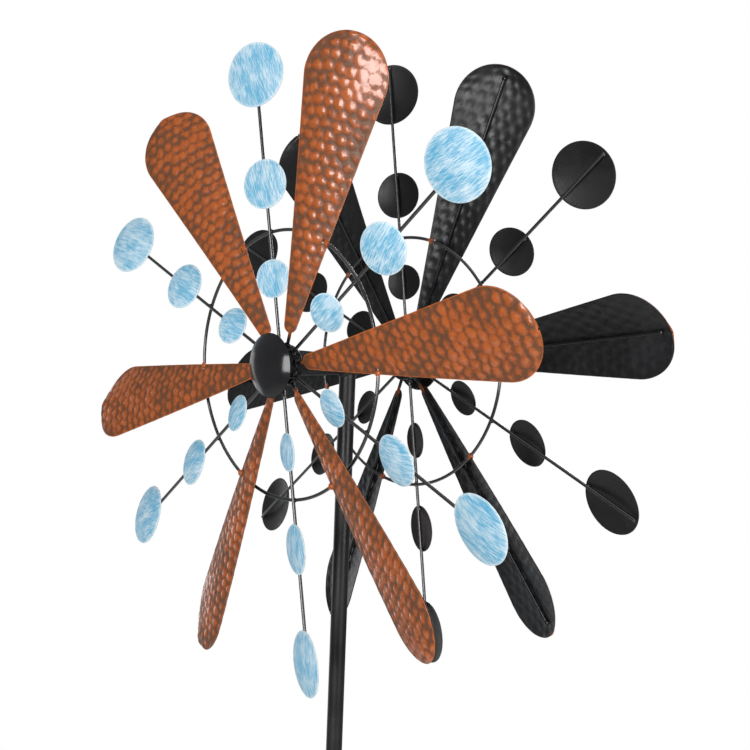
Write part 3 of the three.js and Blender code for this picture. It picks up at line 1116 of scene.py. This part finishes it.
def make_end_plug(side):
    """The flanged plug in one end of the cross tube."""
    stand = settings().stand
    face = node_size("axle_tube").y / 2 + GAP
    bore, nose_r, flange = AXLE_BORE, 0.006, 0.002
    inner = stand.tube_radius - stand.tube_wall - GAP
    back = face - 0.012
    nose = face + flange + 0.0016
    bevel = 0.0003
    profile = [
        (bore, back), (inner - bevel, back), (inner, back + bevel),
        (inner, face), (stand.tube_radius - bevel, face), (stand.tube_radius, face + bevel),
        (stand.tube_radius, face + flange - bevel), (stand.tube_radius - bevel, face + flange),
        (nose_r + bevel, face + flange), (nose_r, face + flange + bevel), (nose_r, nose - bevel),
        (nose_r - bevel, nose), (bore, nose),
    ]
    return make_piece(
        f"{side}_flanged_plug", lathe(profile, 72), ["zinc_plate"], STAND,
        matrix=axle_matrix(side), replaces=[f"{side}_end_plug"], sharp=35,
    )


def make_nut(side):
    """The hexagon nut that holds a rotor on the axle."""
    low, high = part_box("front_lock_nut")
    start, end = -high.y, -low.y
    reach, bore, bevel = 0.0065, 0.00415, 0.0005
    profile = [
        (bore, start + bevel), (bore + bevel, start), (reach * 0.95, start),
        (reach, start + bevel), (reach, end - bevel), (reach * 0.95, end), (bore + bevel, end),
        (bore, end - bevel),
    ]
    bm = lathe(profile, 72)
    for vert in bm.verts:
        if vert.co.xy.length > reach * 0.98:
            turn = math.atan2(vert.co.y, vert.co.x) % (math.pi / 3) - math.pi / 6
            vert.co.x /= math.cos(turn)
            vert.co.y /= math.cos(turn)
    return make_piece(
        f"{side}_hexagon_nut", bm, ["zinc_plate"], STAND,
        matrix=axle_matrix(side), replaces=[f"{side}_lock_nut"], sharp=25,
    )


def pole_profile(node, necked):
    """Profile of one pole section, with a swaged neck where it plugs in."""
    stand = settings().stand
    low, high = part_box(node)
    radius, inner, bevel = stand.pole_radius, stand.pole_radius - stand.pole_wall, 0.0005
    plain = tube_profile(inner, radius, low.z, high.z, bevel)
    if not necked:
        return plain
    neck, neck_in = stand.neck_radius, stand.neck_radius - stand.pole_wall
    shoulder = low.z + stand.neck_length
    top = plain[4:]
    return [
        (inner, shoulder + 0.004), (neck_in, shoulder + 0.001), (neck_in, low.z + bevel),
        (neck_in + bevel, low.z), (neck - bevel, low.z), (neck, low.z + bevel), (neck, shoulder),
        (radius - bevel, shoulder + GAP), (radius, shoulder + GAP + bevel),
    ] + top


def make_pole_section(name, node, necked):
    """One pole section. The top one is cut to the cross tube's curve."""
    stand = settings().stand
    bm = lathe(pole_profile(node, necked), 72)
    if node == "pole_upper":
        top = AXLE_Z - stand.tube_radius - 0.004
        for vert in bm.verts:
            if vert.co.z > top:
                vert.co.z = AXLE_Z - math.sqrt((stand.tube_radius + GAP) ** 2 - vert.co.x**2)
    return make_piece(
        name, bm, ["satin_black"], STAND, replaces=[node], sharp=35
    )


def make_pole_weld():
    """The weld bead round the top of the pole, following the cross tube's curve."""
    stand = settings().stand
    tube = stand.tube_radius
    bm = wire_ring(stand.pole_radius + 0.0004, 0.0019, 12, 160)
    for vert in bm.verts:
        turn = math.atan2(vert.co.y, vert.co.x)
        ripple = 1 + 0.02 * math.sin(26 * turn) + 0.012 * math.sin(7 * turn + 1)
        vert.co.x *= ripple
        vert.co.y *= ripple
        saddle = math.sqrt(tube**2 - min(abs(vert.co.x), tube * 0.8) ** 2)
        vert.co.z += AXLE_Z - saddle - 0.0006
    return make_piece("pole_head_weld", bm, ["satin_black"], STAND)


def make_screw(node):
    """A pan-head screw with a hexagon recess, through the pole's wall."""
    low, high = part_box(node)
    head_r, head = 0.0035, 0.0024
    face = high.x - head
    shank = 0.0018
    shape = [
        (0.0, low.x), (shank - 0.0004, low.x), (shank, low.x + 0.0004), (shank, face),
        (head_r - 0.0002, face), (head_r, face + 0.0003), (head_r, face + 0.0009),
        (head_r * 0.93, face + 0.0016), (head_r * 0.76, face + 0.0021),
        (head_r * 0.58, high.x), (head_r * 0.5, high.x), (head_r * 0.47, high.x - 0.0003),
        (head_r * 0.47, high.x - 0.0013), (0.0, high.x - 0.0016),
    ]
    bm = lathe(shape, 48, closed=False)
    for vert in bm.verts:
        out = vert.co.xy.length
        if vert.co.z > face + 0.0005 and 0 < out < head_r * 0.49:
            turn = math.atan2(vert.co.y, vert.co.x) % (math.pi / 3) - math.pi / 6
            flat = math.cos(math.pi / 6) / math.cos(turn) * 1.08
            vert.co.x *= flat
            vert.co.y *= flat
    centre = node_centre(node)
    return make_piece(
        node.replace("pole_screw", "pan_head_screw"), bm, ["zinc_plate"], STAND,
        matrix=Matrix.Translation((0, 0, centre.z)) @ Matrix.Rotation(math.pi / 2, 4, "Y"),
        replaces=[node], sharp=30,
    )


PRONG_PLACES = (-0.052, -0.018, 0.018, 0.052)


def make_fork_bar():
    """The step bar of the ground fork, with rounded corners."""
    fork, thick = node_size("ground_fork"), settings().stand.bar_thickness
    bm = bmesh.new()
    matrix = Matrix.Translation((0, 0, thick / 2)) @ Matrix.Diagonal((fork.x, fork.y, thick, 1))
    bmesh.ops.create_cube(bm, size=1, matrix=matrix)
    upright = [e for e in bm.edges if abs(e.verts[0].co.z - e.verts[1].co.z) > thick / 2]
    bmesh.ops.bevel(
        bm, geom=upright, offset=0.0045, segments=6, profile=0.5, affect="EDGES", material=-1
    )
    rims = [e for e in bm.edges if e.calc_face_angle(0) > 1]
    bmesh.ops.bevel(
        bm, geom=rims, offset=0.0007, segments=3, profile=0.5, affect="EDGES", material=-1
    )
    return make_piece(
        "fork_step_bar", bm, ["satin_black"], STAND,
        replaces=["ground_fork"], sharp=40,
    )


def make_prong(index, x):
    """One pointed prong."""
    stand = settings().stand
    radius, tip, point = stand.prong_radius, -stand.prong_length, stand.prong_point
    top = 0.0008
    profile = [
        (0.0, tip), (0.0005, tip + 0.0006), (radius * 0.55, tip + point * 0.5),
        (radius * 0.93, tip + point * 0.93), (radius, tip + point * 1.15),
        (radius, top), (0.0, top),
    ]
    return make_piece(
        f"fork_prong_{index + 1}", lathe(profile, 36, closed=False), ["satin_black"],
        STAND, matrix=Matrix.Translation((x, 0, 0)), replaces=["ground_fork"],
    )


def make_fork_post():
    """The post on the step bar that the pole slides over."""
    stand = settings().stand
    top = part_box("ground_fork")[1].z
    radius = stand.neck_radius
    foot = 0.003
    profile = [
        (0.0, foot), (radius, foot), (radius, top - 0.001), (radius - 0.0007, top - 0.0002),
        (radius - 0.0015, top), (0.0, top),
    ]
    return make_piece(
        "fork_post", lathe(profile, 64, closed=False), ["satin_black"], STAND,
        replaces=["ground_fork"], sharp=50,
    )


def make_fork_welds():
    """Weld beads under the step bar round each prong."""
    rng = random.Random(900)
    bm = bmesh.new()
    reach = settings().stand.prong_radius + 0.0005
    beads = 9
    for x in PRONG_PLACES:
        for i in range(beads):
            along, across, under = polar(reach, i * FULL_TURN / beads, -0.0007)
            add_bead(bm, (x + along, across, under), rng.uniform(0.0017, 0.0022), rng, 0.7)
    return make_piece("fork_welds", bm, ["satin_black"], STAND)


# ---------------------------------------------------------------- stage


def blend_out(wires, share, first, second, kind):
    """Blends from the first shader to the second, into the tree's output."""
    blend = wires.add("ShaderNodeMixShader")
    for socket, source in zip(blend.inputs, (share, first, second)):
        wires.link(source, socket)
    output = wires.add(kind)
    wires.link(blend.outputs[0], output.inputs["Surface"])


def floor_material():
    """Pale paint, lifted a little for the camera only, that fades out towards the rim."""
    radius = settings().stage.floor_radius
    material = bpy.data.materials.new("pale_floor")
    material.use_nodes = True
    material.node_tree.nodes.clear()
    wires = Tree(material.node_tree)
    paint = wires.feed(wires.add("ShaderNodeBsdfDiffuse"), Color=(0.82, 0.82, 0.81, 1))
    seen = wires.math("MULTIPLY", wires.add("ShaderNodeLightPath").outputs["Is Camera Ray"], 0.2)
    lift = wires.feed(wires.add("ShaderNodeEmission"), Color=(1, 1, 0.99, 1), Strength=seen)
    pale = wires.add("ShaderNodeAddShader")
    wires.link(paint.outputs[0], pale.inputs[0])
    wires.link(lift.outputs[0], pale.inputs[1])
    clear = wires.add("ShaderNodeBsdfTransparent")
    reach = wires.add("ShaderNodeVectorMath", operation="LENGTH")
    wires.link(wires.object_coordinates(), reach.inputs[0])
    share = wires.span(reach.outputs["Value"], radius * 0.45, radius * 0.97)
    blend_out(wires, share, pale.outputs[0], clear.outputs[0], "ShaderNodeOutputMaterial")
    return material


def make_floor():
    """A pale round floor that fades out into the backdrop."""
    bm = bmesh.new()
    below = CAD_BOX[0].z - 0.0005
    bmesh.ops.create_circle(
        bm, segments=96, radius=settings().stage.floor_radius, cap_ends=True,
        matrix=Matrix.Translation((0, 0, below)),
    )
    mesh = bpy.data.meshes.new("floor")
    bm.to_mesh(mesh)
    bm.free()
    mesh.materials.append(floor_material())
    floor = bpy.data.objects.new("floor", mesh)
    bpy.context.scene.collection.objects.link(floor)


def look_at_rotors(thing, azimuth, elevation, distance, roll=0.0):
    """Places a light or camera at its angles and distance, looking at the rotors."""
    level = math.cos(elevation)
    away = Vector((math.sin(azimuth) * level, -math.cos(azimuth) * level, math.sin(elevation)))
    thing.location = Vector((0, 0, AXLE_Z)) + away * distance
    thing.rotation_mode = "QUATERNION"
    turned = Quaternion((0, 0, 1), roll)
    thing.rotation_quaternion = (-away).to_track_quat("-Z", "Y") @ turned
    bpy.context.scene.collection.objects.link(thing)


# Azimuth and elevation in degrees, distance, width and height, and power of each soft light.
SOFTBOXES = {
    "key_light": (22, 4, 2.4, (1.1, 1.4), 42),
    "right_light": (88, 2, 2.4, (0.8, 1.6), 20),
    "left_light": (-95, -12, 2.6, (1.4, 1.6), 6),
    "top_light": (20, 74, 2.4, (1.6, 1.6), 8),
    "back_light": (200, 12, 2.6, (1.6, 1.4), 34),
}


def add_softbox(name, azimuth, elevation, distance, size, power):
    """A rectangular area light aimed at the rotors."""
    light = bpy.data.lights.new(name, "AREA")
    light.shape = "RECTANGLE"
    light.size, light.size_y = size
    light.energy = power
    lamp = bpy.data.objects.new(name, light)
    look_at_rotors(lamp, math.radians(azimuth), math.radians(elevation), distance)


def make_backdrop():
    """A white surround, dimmer as a light than it looks."""
    world = bpy.data.worlds.new("studio")
    world.use_nodes = True
    world.node_tree.nodes.clear()
    wires = Tree(world.node_tree)
    seen = wires.feed(wires.add("ShaderNodeBackground"), Color=(1, 1, 1, 1), Strength=1.0)
    glow = wires.feed(wires.add("ShaderNodeBackground"), Color=(0.96, 0.98, 1, 1), Strength=0.22)
    camera_ray = wires.add("ShaderNodeLightPath").outputs["Is Camera Ray"]
    blend_out(wires, camera_ray, glow.outputs[0], seen.outputs[0], "ShaderNodeOutputWorld")
    bpy.context.scene.world = world
    bpy.context.scene.view_settings.view_transform = "Standard"


def make_camera():
    """The camera, a little above the rotors and to the right of the front."""
    stage = settings().stage
    data = bpy.data.cameras.new("camera")
    data.lens = stage.lens
    data.sensor_width = 36.0
    data.shift_x = 0.036
    data.shift_y = -0.016
    data.clip_start, data.clip_end = 0.05, 30.0
    camera = bpy.data.objects.new("camera", data)
    look_at_rotors(camera, stage.azimuth, stage.elevation, stage.distance, stage.roll)
    bpy.context.scene.camera = camera


# ---------------------------------------------------------------- operators


class SPINNER_OT_blades(bpy.types.Operator):
    """Make the hammered blades and the wires behind them"""

    bl_idname = "spinner.blades"
    bl_label = "Blades"

    def execute(self, context):
        for side in SIDES:
            for index in range(settings().rotor.spokes):
                make_blade(side, index)
                make_blade_wire(side, index)
        return {"FINISHED"}


class SPINNER_OT_discs(bpy.types.Operator):
    """Make the brushed discs and their wires"""

    bl_idname = "spinner.discs"
    bl_label = "Disc arms"

    def execute(self, context):
        for side in SIDES:
            for index in range(settings().rotor.spokes):
                make_disc_wire(side, index)
                for place in range(len(settings().disc.radii)):
                    make_disc(side, index, place)
        return {"FINISHED"}


class SPINNER_OT_rings(bpy.types.Operator):
    """Make the stiffening rings and their welds"""

    bl_idname = "spinner.rings"
    bl_label = "Rings"

    def execute(self, context):
        for side in SIDES:
            make_ring(side)
            make_ring_welds(side)
        return {"FINISHED"}


class SPINNER_OT_hubs(bpy.types.Operator):
    """Make the hubs, their bearings and their domed caps"""

    bl_idname = "spinner.hubs"
    bl_label = "Hubs and caps"

    def execute(self, context):
        for side in SIDES:
            make_hub(side)
            make_hub_welds(side)
            make_bearing(side, "inner", -0.006)
            make_bearing(side, "outer", 0.006)
            make_cap(side)
        return {"FINISHED"}


class SPINNER_OT_axle(bpy.types.Operator):
    """Make the cross tube, its plugs and the nuts, and finish the axle"""

    bl_idname = "spinner.axle"
    bl_label = "Axle"

    def execute(self, context):
        make_axle_tube()
        for side in SIDES:
            make_end_plug(side)
            make_nut(side)
        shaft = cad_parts["axle_shaft"]
        shaft.data.materials.clear()
        shaft.data.materials.append(finish_named("zinc_plate"))
        return {"FINISHED"}


class SPINNER_OT_pole(bpy.types.Operator):
    """Make the pole sections, the weld at the top and the screws"""

    bl_idname = "spinner.pole"
    bl_label = "Pole"

    def execute(self, context):
        make_pole_section("pole_top_section", "pole_upper", True)
        make_pole_section("pole_middle_section", "pole_middle", True)
        make_pole_section("pole_bottom_section", "pole_lower", False)
        make_pole_weld()
        for node in ("pole_screw_upper", "pole_screw_lower", "pole_screw_fork"):
            make_screw(node)
        return {"FINISHED"}


class SPINNER_OT_fork(bpy.types.Operator):
    """Make the ground fork"""

    bl_idname = "spinner.fork"
    bl_label = "Ground fork"

    def execute(self, context):
        make_fork_bar()
        make_fork_post()
        for index, x in enumerate(PRONG_PLACES):
            make_prong(index, x)
        make_fork_welds()
        return {"FINISHED"}


class SPINNER_OT_stage(bpy.types.Operator):
    """Set up the floor, the lights, the surround and the camera"""

    bl_idname = "spinner.stage"
    bl_label = "Stage"

    def execute(self, context):
        make_camera()
        make_floor()
        make_backdrop()
        for name, light in SOFTBOXES.items():
            add_softbox(name, *light)
        return {"FINISHED"}


STEPS = (
    SPINNER_OT_blades,
    SPINNER_OT_discs,
    SPINNER_OT_rings,
    SPINNER_OT_hubs,
    SPINNER_OT_axle,
    SPINNER_OT_pole,
    SPINNER_OT_fork,
    SPINNER_OT_stage,
)


class SPINNER_PT_panel(bpy.types.Panel):
    """Lists the steps that build the wind spinner"""

    bl_label = "Wind Spinner"
    bl_idname = "SPINNER_PT_panel"
    bl_space_type = "VIEW_3D"
    bl_region_type = "UI"
    bl_category = "Wind Spinner"

    def draw(self, context):
        spinner = context.scene.wind_spinner
        for group in spinner.__annotations__:
            part = getattr(spinner, group)
            box = self.layout.box()
            for name in part.__annotations__:
                box.prop(part, name)
        for step in STEPS:
            self.layout.operator(step.bl_idname)


CLASSES = (
    RotorSettings,
    BladeSettings,
    DiscSettings,
    StandSettings,
    FinishSettings,
    StageSettings,
    SpinnerSettings,
    *STEPS,
    SPINNER_PT_panel,
)


def register():
    for cls in CLASSES:
        bpy.utils.register_class(cls)
    bpy.types.Scene.wind_spinner = bpy.props.PointerProperty(type=SpinnerSettings)


def unregister():
    del bpy.types.Scene.wind_spinner
    for cls in reversed(CLASSES):
        bpy.utils.unregister_class(cls)


def main():
    register()
    for step in STEPS:
        group, name = step.bl_idname.split(".")
        getattr(getattr(bpy.ops, group), name)()


if __name__ == "__main__":
    main()
